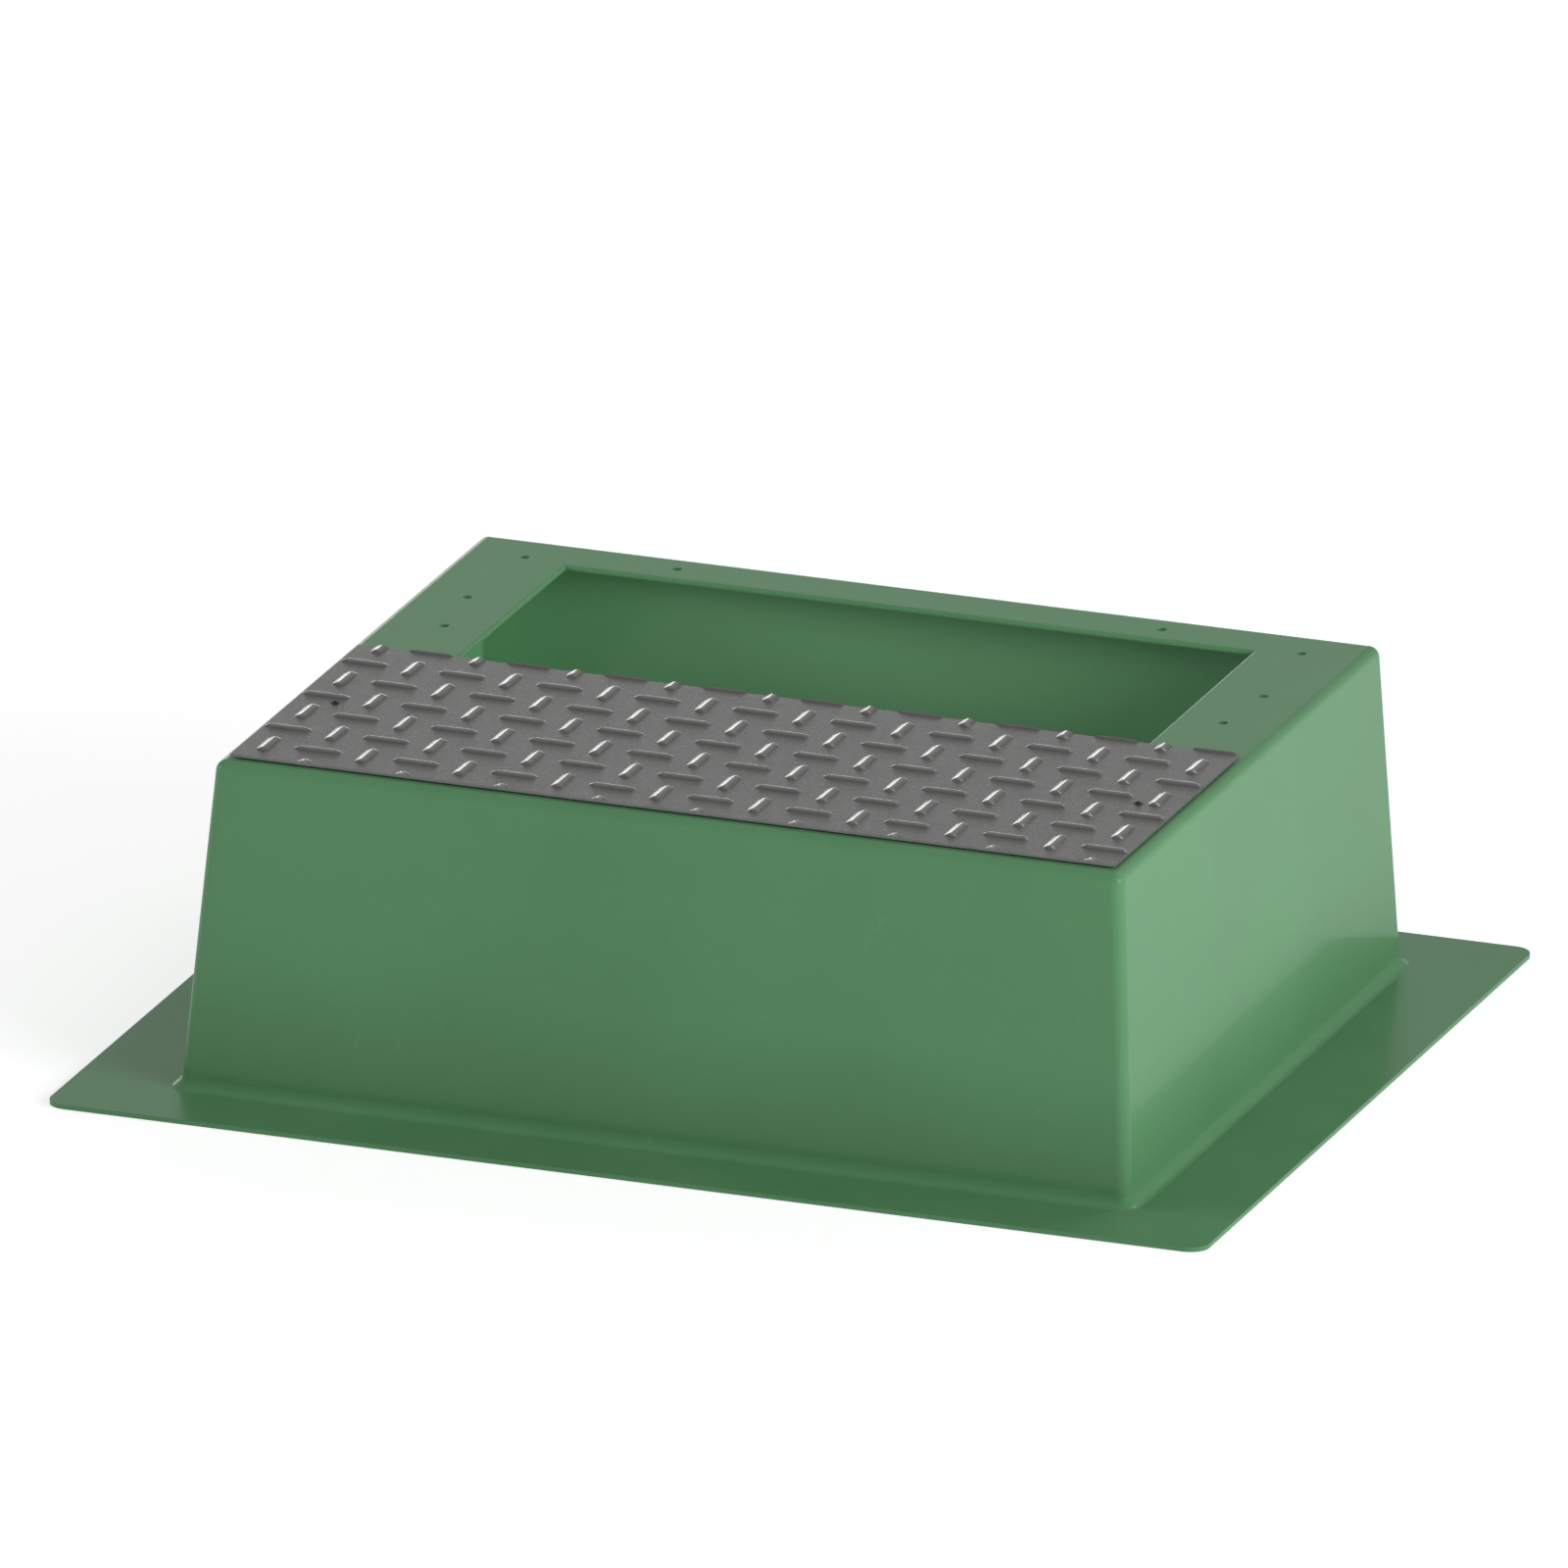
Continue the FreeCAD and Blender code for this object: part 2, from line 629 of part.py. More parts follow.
def make_deck_fasteners(side, sign):
    """The countersunk bolts and nuts through the deck, a side bar and a cleat."""
    bolts, nuts = [], []
    for number, x in enumerate(DECK_BOLTS_X, start=1):
        bolt = countersunk_bolt(f"deck_bolt_{side}_{number}")
        bolts.append(place(bolt, f"{sign} * {x}", DECK_BOLT_Y, DECK_TOP))
        ring = large_nut(f"deck_nut_{side}_{number}")
        foot = f"{BAR_UNDERSIDE} - Sizes.angle_thickness - Sizes.nut_height"
        nuts.append(place(ring, f"{sign} * {x}", DECK_BOLT_Y, foot))
    keep_group(f"cleat_bolts_{side}", bolts)
    keep_group(f"cleat_nuts_{side}", nuts)


# ---------------------------------------------------------------- cover and its seal


def make_cover():
    """The tread cover: a sheet with raised lugs, trimmed to size, with two screw seats."""
    body = doc.addObject("PartDesign::Body", "cover")
    column = f"(Sizes.first_column - {COVER_X})"
    row = f"({COVER_FRONT} - Sizes.first_row)"
    across, along = "Sizes.lug_pitch_across", "Sizes.lug_pitch_along"
    left, right = f"(-{COVER_X} - 2 * {across})", f"({COVER_X} + 2 * {across})"
    front, rear = f"({COVER_FRONT} - 2 * {along})", f"({COVER_REAR} + 2 * {along})"
    raw = new_sketch(body, "sheet_outline", COVER_UNDERSIDE)
    rectangle(raw, left, right, front, rear)
    pad(body, raw, "Sizes.plate_thickness")

    cell = new_sketch(body, "lug_cell", COVER_TOP)
    for column_step in (0, 1):
        for row_step in (0, 1):
            x = f"({column} + {column_step} * {across})"
            y = f"({row} + {row_step} * {along})"
            lug_outline(cell, x, y, along_x=column_step == row_step)
    pad(body, cell, "Sizes.lug_height", taper="-Sizes.lug_flank_angle")
    field = body.newObject("PartDesign::LinearPattern", "lug_field")
    field.Originals = [body.Tip]
    field.Direction = (cell, ["H_Axis"])
    field.Direction2 = (cell, ["V_Axis"])
    field.Mode = "Spacing"
    field.Mode2 = "Spacing"
    field.setExpression("Offset", f"2 * {across}")
    field.setExpression("Offset2", f"2 * {along}")
    reach_across = f"2 * {COVER_X} - Sizes.first_column + Sizes.lug_length / 2"
    reach_along = "Sizes.cover_depth + Sizes.first_row + Sizes.lug_length / 2"
    field.setExpression("Occurrences", f"ceil(({reach_across}) / (2 * {across}))")
    field.setExpression("Occurrences2", f"ceil(({reach_along}) / (2 * {along}))")
    field.Refine = False
    body.Tip = field
    doc.recompute()

    waste = new_sketch(body, "trim_outline", f"{COVER_TOP} + Sizes.lug_height")
    rectangle(waste, f"{left} - {across}", f"{right} + {across}",
              f"{front} - {along}", f"{rear} + {along}")
    rectangle(waste, f"-{COVER_X}", COVER_X, COVER_FRONT, COVER_REAR)
    circle_pair(waste, SCREW_X, SCREW_Y, SCREW_HOLE)
    pocket(body, waste, refine=False)
    seats = new_sketch(body, "screw_seats", f"{COVER_TOP} + Sizes.lug_height")
    circle_pair(seats, SCREW_X, SCREW_Y, "(Sizes.screw_head / 2 + Sizes.screw_seat_margin)")
    pocket(body, seats, "Sizes.lug_height + Sizes.screw_seat_depth", refine=False)
    keep(body, "tread_cover")


def make_side_strip(side, sign):
    """The sealing strip under one end of the cover, holed for the cover screw."""
    body = doc.addObject("PartDesign::Body", f"strip_{side}")
    blank = new_sketch(body, f"strip_{side}_outline", DECK_TOP)
    far = f"{sign} * {STRIP_X}"
    near = f"{sign} * ({STRIP_X} - Sizes.strip_width)"
    front = f"{STRIP_FRONT} + Sizes.strip_width"
    rectangle(blank, near, far, front, f"{COVER_REAR} - Sizes.strip_end_inset")
    pad(body, blank, "Sizes.strip_thickness")
    hole = new_sketch(body, f"strip_{side}_hole", COVER_UNDERSIDE)
    circle(hole, f"{sign} * {SCREW_X}", SCREW_Y, SCREW_HOLE)
    pocket(body, hole)
    keep(body, f"seal_strip_{side}")


def make_plain_strip(name, half, front, rear):
    """A sealing strip that runs across the front."""
    body = doc.addObject("PartDesign::Body", f"strip_{name}")
    blank = new_sketch(body, f"strip_{name}_outline", DECK_TOP)
    rectangle(blank, f"-{half}", half, front, rear)
    pad(body, blank, "Sizes.strip_thickness")
    keep(body, f"seal_strip_{name}")


def make_cover_fastener(side, sign):
    """A cover screw and the nut that holds it under the side bar."""
    x = f"{sign} * {SCREW_X}"
    screw = place(button_screw(f"screw_{side}"), x, SCREW_Y, SCREW_SEAT)
    keep(screw, f"cover_screw_{side}")
    height = "Sizes.screw_nut_height"
    ring = nut(f"screw_nut_{side}", "Sizes.screw_nut_flats", height, "Sizes.screw_thread")
    keep(place(ring, x, SCREW_Y, f"{BAR_UNDERSIDE} - {height}"), f"cover_nut_{side}")


# ---------------------------------------------------------------- the whole plinth


make_shell()
make_rear_bar()
make_rail()
make_cover()
make_plain_strip("front", STRIP_X, STRIP_FRONT, f"{STRIP_FRONT} + Sizes.strip_width")
make_plain_strip(
    "rear",
    RAIL_X,
    f"{RAIL_REAR} - Sizes.angle_leg + Sizes.rear_strip_inset",
    f"{RAIL_REAR} - Sizes.rear_strip_inset",
)
for side, sign in SIDES.items():
    make_side_bar(side, sign)
    make_cleat(side, sign)
    make_rail_fasteners(side, sign)
    make_deck_fasteners(side, sign)
    make_side_strip(side, sign)
    make_cover_fastener(side, sign)
doc.recompute()

for thing in doc.Objects:
    if {"Invalid", "Error"} & set(thing.State):
        raise RuntimeError(f"{thing.Name} failed: {thing.State}")
os.makedirs("parts", exist_ok=True)
for part in SUB_PARTS:
    if part.Shape.isNull() or not part.Shape.isValid():
        raise RuntimeError(f"{part.Label} has no sound shape")
    part.Shape.exportStep(f"parts/{part.Label}.step")
    print(part.Label, len(part.Shape.Solids), round(part.Shape.Volume))
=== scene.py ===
import math

import bmesh
import bpy
from mathutils import Matrix, Vector
from mathutils.geometry import delaunay_2d_cdt


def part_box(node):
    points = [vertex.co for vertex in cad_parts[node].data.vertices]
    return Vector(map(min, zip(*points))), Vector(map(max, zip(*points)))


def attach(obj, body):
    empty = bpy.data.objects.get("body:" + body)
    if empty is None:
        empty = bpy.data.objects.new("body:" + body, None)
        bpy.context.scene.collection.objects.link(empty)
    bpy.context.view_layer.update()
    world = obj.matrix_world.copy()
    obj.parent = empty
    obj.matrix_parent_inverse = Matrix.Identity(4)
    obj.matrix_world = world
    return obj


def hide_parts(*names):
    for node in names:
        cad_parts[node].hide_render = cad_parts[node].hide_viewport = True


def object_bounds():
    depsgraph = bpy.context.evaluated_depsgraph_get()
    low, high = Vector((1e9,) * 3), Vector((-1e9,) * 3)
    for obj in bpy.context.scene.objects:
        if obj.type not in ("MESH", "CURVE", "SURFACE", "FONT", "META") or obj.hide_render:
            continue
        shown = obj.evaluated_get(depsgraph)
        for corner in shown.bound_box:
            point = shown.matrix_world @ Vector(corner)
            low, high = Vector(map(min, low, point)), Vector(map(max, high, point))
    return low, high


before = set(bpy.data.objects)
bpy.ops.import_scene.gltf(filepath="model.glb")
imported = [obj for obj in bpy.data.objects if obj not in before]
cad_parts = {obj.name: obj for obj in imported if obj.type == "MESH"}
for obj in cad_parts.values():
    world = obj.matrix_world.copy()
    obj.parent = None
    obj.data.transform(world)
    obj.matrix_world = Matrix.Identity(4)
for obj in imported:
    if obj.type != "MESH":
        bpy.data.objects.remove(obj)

bl_info = {
    "name": "Cabinet ground plinth",
    "version": (1, 0, 0),
    "blender": (4, 5, 0),
    "location": "View3D > Sidebar > Plinth",
    "description": "Finishes a moulded ground plinth and builds its tread cover",
    "category": "Object",
}

CAD_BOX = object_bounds()
SIDES = ("left", "right")

# Heights on the shell, in metres: just over the laminate's thickness, the top of the fillet
# between flange and walls, and how far up the walls the painted shade near the ground reaches.
SKIN = 0.006
FILLET_TOP = 0.02
FOOT_SHADE_TOP = 0.15

# The sheet's raised lugs: how far in from the foot towards the ridge, and how high, each ring
# of a lug's points lies, both as shares of the whole.
LUG_RINGS = ((0.0, 0.0), (0.2, 0.24), (0.4, 0.48), (0.55, 0.66), (0.68, 0.8), (0.8, 0.91),
             (0.9, 0.975), (0.97, 1.0))
LUG_END_STEPS = 8  # facets round a lug's end
HOLE_STEPS = 48  # facets round a screw's hole and seat
CUT_REACH = 0.01  # how far the cutting tool reaches past the sheet's face, in metres
SHARP_ANGLE = math.radians(16)
TOLERANCE = 1e-7  # metres within which two points count as one
FILL_INSIDE = 1  # the sheet's outline is filled, and nothing outside it

# The studio, in metres: the lamps' distance, the floor's half width and how far it lies below
# the object's foot, and where the light of the lamps fades on it.
LAMP_DISTANCE = 7.0
FLOOR_HALF = 30.0
FLOOR_DROP = 0.0005
FADE_START = 1.3
FADE_END = 5.0


# ---------------------------------------------------------------- settings


class FinishSettings(bpy.types.PropertyGroup):
    """Colours and gloss of the plinth's surfaces."""

    gelcoat: bpy.props.FloatVectorProperty(
        name="Gelcoat", description="Green of the moulded shell",
        subtype="COLOR", size=3, min=0.0, max=1.0, default=(0.122, 0.322, 0.147))
    gelcoat_gloss: bpy.props.FloatProperty(
        name="Gelcoat gloss", description="Strength of the shell's clear reflections",
        subtype="FACTOR", min=0.0, max=1.0, default=0.3)
    # Painted light: the inside is made paler than the gelcoat, standing in for light that does not
    # reach in.
    laminate_painted_paler: bpy.props.FloatVectorProperty(
        name="Bare laminate", description="Paler green of the laminate inside the shell",
        subtype="COLOR", size=3, min=0.0, max=1.0, default=(0.215, 0.515, 0.255))
    tread_metal: bpy.props.FloatVectorProperty(
        name="Tread metal", description="Grey of the rolled tread sheet",
        subtype="COLOR", size=3, min=0.0, max=1.0, default=(0.17, 0.168, 0.163))
    # The lugs' flanks and ridges are lighter partly as rubbed wear and partly as a painted
    # highlight.
    lug_flank_worn_highlight: bpy.props.FloatVectorProperty(
        name="Lug flanks", description="Grey of the lugs, rubbed a little brighter than the sheet",
        subtype="COLOR", size=3, min=0.0, max=1.0, default=(0.32, 0.316, 0.307))
    lug_ridge_worn_highlight: bpy.props.FloatVectorProperty(
        name="Lug ridges", description="Grey of the ridges of the lugs, rubbed brightest",
        subtype="COLOR", size=3, min=0.0, max=1.0, default=(0.44, 0.434, 0.422))
    galvanised: bpy.props.FloatVectorProperty(
        name="Galvanised steel", description="Grey of the bars, the rail and the cleats",
        subtype="COLOR", size=3, min=0.0, max=1.0, default=(0.42, 0.44, 0.45))
    zinc: bpy.props.FloatVectorProperty(
        name="Zinc plate", description="Colour of the bolts and nuts",
        subtype="COLOR", size=3, min=0.0, max=1.0, default=(0.5, 0.5, 0.47))
    black_oxide: bpy.props.FloatVectorProperty(
        name="Black oxide", description="Colour of the cover screws",
        subtype="COLOR", size=3, min=0.0, max=1.0, default=(0.035, 0.033, 0.032))
    rubber: bpy.props.FloatVectorProperty(
        name="Seal rubber", description="Colour of the sealing strips",
        subtype="COLOR", size=3, min=0.0, max=1.0, default=(0.03, 0.03, 0.03))


class CoverSettings(bpy.types.PropertyGroup):
    """Pattern of the tread cover."""

    lug_length: bpy.props.FloatProperty(
        name="Lug length", description="Length of a raised lug at its foot",
        unit="LENGTH", default=0.052)
    lug_width: bpy.props.FloatProperty(
        name="Lug width", description="Width of a raised lug at its foot",
        unit="LENGTH", default=0.015)
    lug_end: bpy.props.FloatProperty(
        name="Lug end", description="Length of a lug's rounded end",
        unit="LENGTH", default=0.009)
    lug_height: bpy.props.FloatProperty(
        name="Lug height", description="How far a lug stands above the sheet",
        unit="LENGTH", default=0.003)
    pitch_across: bpy.props.FloatProperty(
        name="Pitch across", description="Distance between columns of lugs",
        unit="LENGTH", default=0.0542)
    pitch_along: bpy.props.FloatProperty(
        name="Pitch along", description="Distance between rows of lugs",
        unit="LENGTH", default=0.0601)
    first_column: bpy.props.FloatProperty(
        name="First column", description="From the sheet's left edge to its first column of lugs",
        unit="LENGTH", default=0.0265)
    first_row: bpy.props.FloatProperty(
        name="First row", description="From the sheet's front edge to its first row of lugs",
        unit="LENGTH", default=-0.0135)
    seat_radius: bpy.props.FloatProperty(
        name="Screw seat radius", description="Radius of the flat milled under each screw head",
        unit="LENGTH", default=0.00575)
    seat_depth: bpy.props.FloatProperty(
        name="Screw seat depth", description="Depth of the seat below the face of the sheet",
        unit="LENGTH", default=0.0003)
    hole_radius: bpy.props.FloatProperty(
        name="Screw hole radius", description="Radius of the clearance hole for a screw",
        unit="LENGTH", default=0.00275)


class StageSettings(bpy.types.PropertyGroup):
    """Floor, light and camera."""

    floor: bpy.props.FloatVectorProperty(
        name="Floor", description="Colour of the floor",
        subtype="COLOR", size=3, min=0.0, max=1.0, default=(0.85, 0.85, 0.85))
    floor_glow: bpy.props.FloatProperty(
        name="Floor glow", description="What lifts the floor to white where it is seen",
        min=0.0, default=0.58)
    far_glow: bpy.props.FloatProperty(
        name="Far floor glow", description="The same where the lamps don't reach the floor",
        min=0.0, default=0.82)
    backdrop: bpy.props.FloatProperty(
        name="Backdrop", description="Brightness of the low backdrop where it is seen",
        min=0.0, default=1.0)
    ceiling: bpy.props.FloatProperty(
        name="Ceiling", description="Brightness of the ceiling where it is seen",
        min=0.0, default=0.34)
    walls: bpy.props.FloatProperty(
        name="Walls", description="Light from the walls of the studio",
        min=0.0, default=0.68)
    zenith: bpy.props.FloatProperty(
        name="Zenith", description="Light from the ceiling of the studio",
        min=0.0, default=0.1)
    key: bpy.props.FloatProperty(
        name="Key lamp", description="Level of the lamp on the right",
        min=0.0, default=0.54)
    fill: bpy.props.FloatProperty(
        name="Left lamp", description="Level of the lamp on the left",
        min=0.0, default=0.24)
    rear: bpy.props.FloatProperty(
        name="Rear lamp", description="Level of the high lamp behind",
        min=0.0, default=0.12)
    skim: bpy.props.FloatProperty(
        name="Skimming lamp", description="Level of the low lamp behind",
        min=0.0, default=0.05)
    azimuth: bpy.props.FloatProperty(
        name="Azimuth", description="Where the camera stands round the object",
        subtype="ANGLE", default=math.radians(18.62))
    elevation: bpy.props.FloatProperty(
        name="Elevation", description="Height of the camera above the horizon",
        subtype="ANGLE", default=math.radians(17.84))
    roll: bpy.props.FloatProperty(
        name="Roll", description="Tilt of the camera about its line of sight",
        subtype="ANGLE", default=math.radians(1.245))
    distance: bpy.props.FloatProperty(
        name="Distance", description="From the camera to the point that it is aimed at",
        unit="LENGTH", default=72.95)
    lens: bpy.props.FloatProperty(
        name="Lens", description="Focal length in millimetres, long enough to keep lines parallel",
        default=1600.0)
    aim: bpy.props.FloatVectorProperty(
        name="Aim", description="The point that the camera is aimed at",
        subtype="XYZ", unit="LENGTH", size=3, default=(-0.0154, 0.0, 0.2686))


# ---------------------------------------------------------------- node graphs


class Graph:
    """Places nodes in a material, a world or a node group, and joins them."""

    def __init__(self, tree):
        self.tree = tree

    def place(self, kind, settings=None, inputs=None):
        """Adds a node: settings are its own properties, inputs what its sockets are fed."""
        node = self.tree.nodes.new(kind)
        for name, value in (settings or {}).items():
            setattr(node, name, value)
        for name, value in (inputs or {}).items():
            self.feed(node.inputs[name], value)
        return node

    def feed(self, socket, value):
        """Joins a socket to the input, or sets the input to a plain value."""
        if isinstance(value, bpy.types.NodeSocket):
            self.tree.links.new(value, socket)
        else:
            socket.default_value = value

    def calc(self, operation, first, second=0.0, clamp=False):
        """One step of arithmetic on two values."""
        node = self.place("ShaderNodeMath", {"operation": operation, "use_clamp": clamp})
        self.feed(node.inputs[0], first)
        self.feed(node.inputs[1], second)
        return node.outputs[0]

    def blend(self, amount, first, second):
        """Mixes two colours."""
        node = self.place("ShaderNodeMix", {"data_type": "RGBA"})
        self.feed(node.inputs["Factor"], amount)
        for socket, value in zip([s for s in node.inputs if s.type == "RGBA"], (first, second)):
            self.feed(socket, value)
        return next(s for s in node.outputs if s.type == "RGBA")

    def scale(self, value, low, high, new_low, new_high, smooth=False):
        """Maps a value from one range to another and keeps it there."""
        kind = "SMOOTHSTEP" if smooth else "LINEAR"
        node = self.place("ShaderNodeMapRange", {"interpolation_type": kind, "clamp": True})
        for name, number in (("Value", value), ("From Min", low), ("From Max", high),
                             ("To Min", new_low), ("To Max", new_high)):
            self.feed(node.inputs[name], number)
        return node.outputs[0]

    def noise(self, vector, scale, detail=3.0, roughness=0.55):
        node = self.place("ShaderNodeTexNoise", None, {
            "Vector": vector, "Scale": scale, "Detail": detail, "Roughness": roughness})
        return node.outputs[0]

    def own_position(self):
        """Where a point lies on the object, in metres, whatever pose the object is in."""
        return self.place("ShaderNodeTexCoord").outputs["Object"]

    def parts_of(self, vector):
        return self.place("ShaderNodeSeparateXYZ", None, {"Vector": vector}).outputs


def new_group(name, inputs, outputs):
    """A node group with named sockets: its graph, what comes in and what it gives."""
    tree = bpy.data.node_groups.new(name, "ShaderNodeTree")
    for label, kind, default in inputs:
        socket = tree.interface.new_socket(label, in_out="INPUT", socket_type=kind)
        socket.default_value = default
    for label, kind in outputs:
        tree.interface.new_socket(label, in_out="OUTPUT", socket_type=kind)
    graph = Graph(tree)
    return graph, graph.place("NodeGroupInput").outputs, graph.place("NodeGroupOutput").inputs


def surface_grain(name):
    """Fine grain and slow mottle, stretched along an axis where a surface was rolled."""
    graph, given, result = new_group(
        name,
        [("Stretch", "NodeSocketVector", (1.0, 1.0, 1.0)),
         ("Grain scale", "NodeSocketFloat", 400.0),
         ("Mottle scale", "NodeSocketFloat", 6.0)],
        [("Grain", "NodeSocketFloat"), ("Mottle", "NodeSocketFloat")])
    place = graph.place("ShaderNodeVectorMath", {"operation": "MULTIPLY"})
    graph.feed(place.inputs[0], graph.own_position())
    graph.feed(place.inputs[1], given["Stretch"])
    fine = graph.noise(place.outputs[0], given["Grain scale"], 4.0, 0.6)
    slow = graph.noise(graph.own_position(), given["Mottle scale"], 3.0, 0.5)
    graph.feed(result["Grain"], graph.scale(fine, 0.3, 0.7, 0.0, 1.0))
    graph.feed(result["Mottle"], graph.scale(slow, 0.32, 0.68, 0.0, 1.0, smooth=True))
    return graph.tree


def settled_dust(name):
    """Dust that lies in patches on what faces up."""
    graph, given, result = new_group(
        name,
        [("Amount", "NodeSocketFloat", 0.2), ("Scale", "NodeSocketFloat", 9.0)],
        [("Mask", "NodeSocketFloat")])
    normal = graph.place("ShaderNodeNewGeometry").outputs["Normal"]
    facing = graph.scale(graph.parts_of(normal)["Z"], 0.55, 1.0, 0.0, 1.0, smooth=True)
    patches = graph.noise(graph.own_position(), given["Scale"], 5.0, 0.62)
    patches = graph.scale(patches, 0.38, 0.7, 0.15, 1.0, smooth=True)
    speckle = graph.noise(graph.own_position(), 900.0, 2.0, 0.5)
    speckle = graph.scale(speckle, 0.35, 0.6, 0.5, 1.0)
    mask = graph.calc("MULTIPLY", graph.calc("MULTIPLY", facing, patches), speckle)
    graph.feed(result["Mask"], graph.calc("MULTIPLY", mask, given["Amount"], clamp=True))
    return graph.tree


def handling_marks(name):
    """Thin, broken scratches that run every way."""
    graph, given, result = new_group(
        name,
        [("Scale", "NodeSocketFloat", 30.0), ("Width", "NodeSocketFloat", 0.02)],
        [("Mask", "NodeSocketFloat")])
    where = graph.own_position()
    bent = graph.place("ShaderNodeVectorMath", {"operation": "MULTIPLY_ADD"})
    swirl = graph.place("ShaderNodeTexNoise", None, {"Vector": where, "Scale": 14.0}).outputs[1]
    graph.feed(bent.inputs[0], swirl)
    graph.feed(bent.inputs[1], (0.01, 0.01, 0.01))
    graph.feed(bent.inputs[2], where)
    cells = graph.place("ShaderNodeTexVoronoi", {"feature": "DISTANCE_TO_EDGE"}, {
        "Vector": bent.outputs[0], "Scale": given["Scale"]})
    line = graph.calc("LESS_THAN", cells.outputs["Distance"], given["Width"])
    broken = graph.scale(graph.noise(where, 45.0, 2.0), 0.52, 0.6, 0.0, 1.0)
    graph.feed(result["Mask"], graph.calc("MULTIPLY", line, broken))
    return graph.tree


def shared(graph, effect, **inputs):
    """Places one of the shared groups, built the first time that it is asked for."""
    name = effect.__name__
    tree = bpy.data.node_groups.get(name) or effect(name)
    values = {label.replace("_", " "): value for label, value in inputs.items()}
    return graph.place("ShaderNodeGroup", {"node_tree": tree}, values).outputs


def new_material(name, **sockets):
    """A material with its own Principled shader, whose plain numbers are set on its sockets."""
    material = bpy.data.materials.new(name)
    material.use_nodes = True
    material.node_tree.nodes.clear()
    graph = Graph(material.node_tree)
    shader = graph.place("ShaderNodeBsdfPrincipled")
    for label, value in sockets.items():
        shader.inputs[label.replace("_", " ")].default_value = value
    graph.place("ShaderNodeOutputMaterial", None, {"Surface": shader.outputs[0]})
    return material, graph, shader.inputs


def shade(colour, factor=1.0):
    """A colour made lighter or darker, with alpha."""
    return tuple(min(1.0, part * factor) for part in colour) + (1.0,)


def bump(graph, height, strength, distance):
    """A normal tilted by a height map; distance is the relief in metres."""
    node = graph.place("ShaderNodeBump", None, {
        "Height": height, "Strength": strength, "Distance": distance})
    return node.outputs[0]


# ---------------------------------------------------------------- finishes

# Colours of the dust on each finish.
DUST_ON_GELCOAT = (0.34, 0.37, 0.31, 1.0)
DUST_ON_SHEET = (0.2, 0.18, 0.16, 1.0)
DUST_ON_STEEL = (0.3, 0.28, 0.25, 1.0)
DUST_ON_RUBBER = (0.2, 0.19, 0.17, 1.0)


def inside_of_shell(graph, where, normal, level):
    """1 on what faces the shell's middle, or down, anywhere under its deck."""
    outward = graph.place("ShaderNodeVectorMath", {"operation": "DOT_PRODUCT"})
    graph.feed(outward.inputs[0], where)
    graph.feed(outward.inputs[1], normal)
    facing_in = graph.calc("LESS_THAN", outward.outputs["Value"], 0.0)
    facing_down = graph.calc("LESS_THAN", graph.parts_of(normal)["Z"], -0.5)
    deck_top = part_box("plinth_shell")[1][2]
    below_deck = graph.calc("LESS_THAN", level, deck_top - SKIN)
    return graph.calc("MULTIPLY", graph.calc("MAXIMUM", facing_in, facing_down), below_deck)


def cloth_weave(graph, where):
    """Warp and weft of the glass cloth."""
    threads = [graph.place("ShaderNodeTexWave", {"bands_direction": axis}, {
        "Vector": where, "Scale": 60.0, "Distortion": 1.5, "Detail": 2.0}).outputs[1]
        for axis in "XZ"]
    return graph.calc("MAXIMUM", *threads)


def painted_foot_shade(graph, level):
    """Painted shade near the ground: darkens the foot of the walls most, the flange less."""
    above_flange = graph.scale(level, SKIN, 2 * SKIN, 0.3, 0.56)
    return graph.calc("MULTIPLY", above_flange, graph.scale(level, FILLET_TOP, FOOT_SHADE_TOP, 1.0, 0.0))


def dull_fillet(graph, level):
    """How far the tight fillet at the foot of the walls has lost its gloss."""
    above_flange = graph.scale(level, SKIN, SKIN + 0.002, 0.0, 0.85)
    return graph.calc("MULTIPLY", above_flange, graph.scale(level, FILLET_TOP, 0.03, 1.0, 0.0))


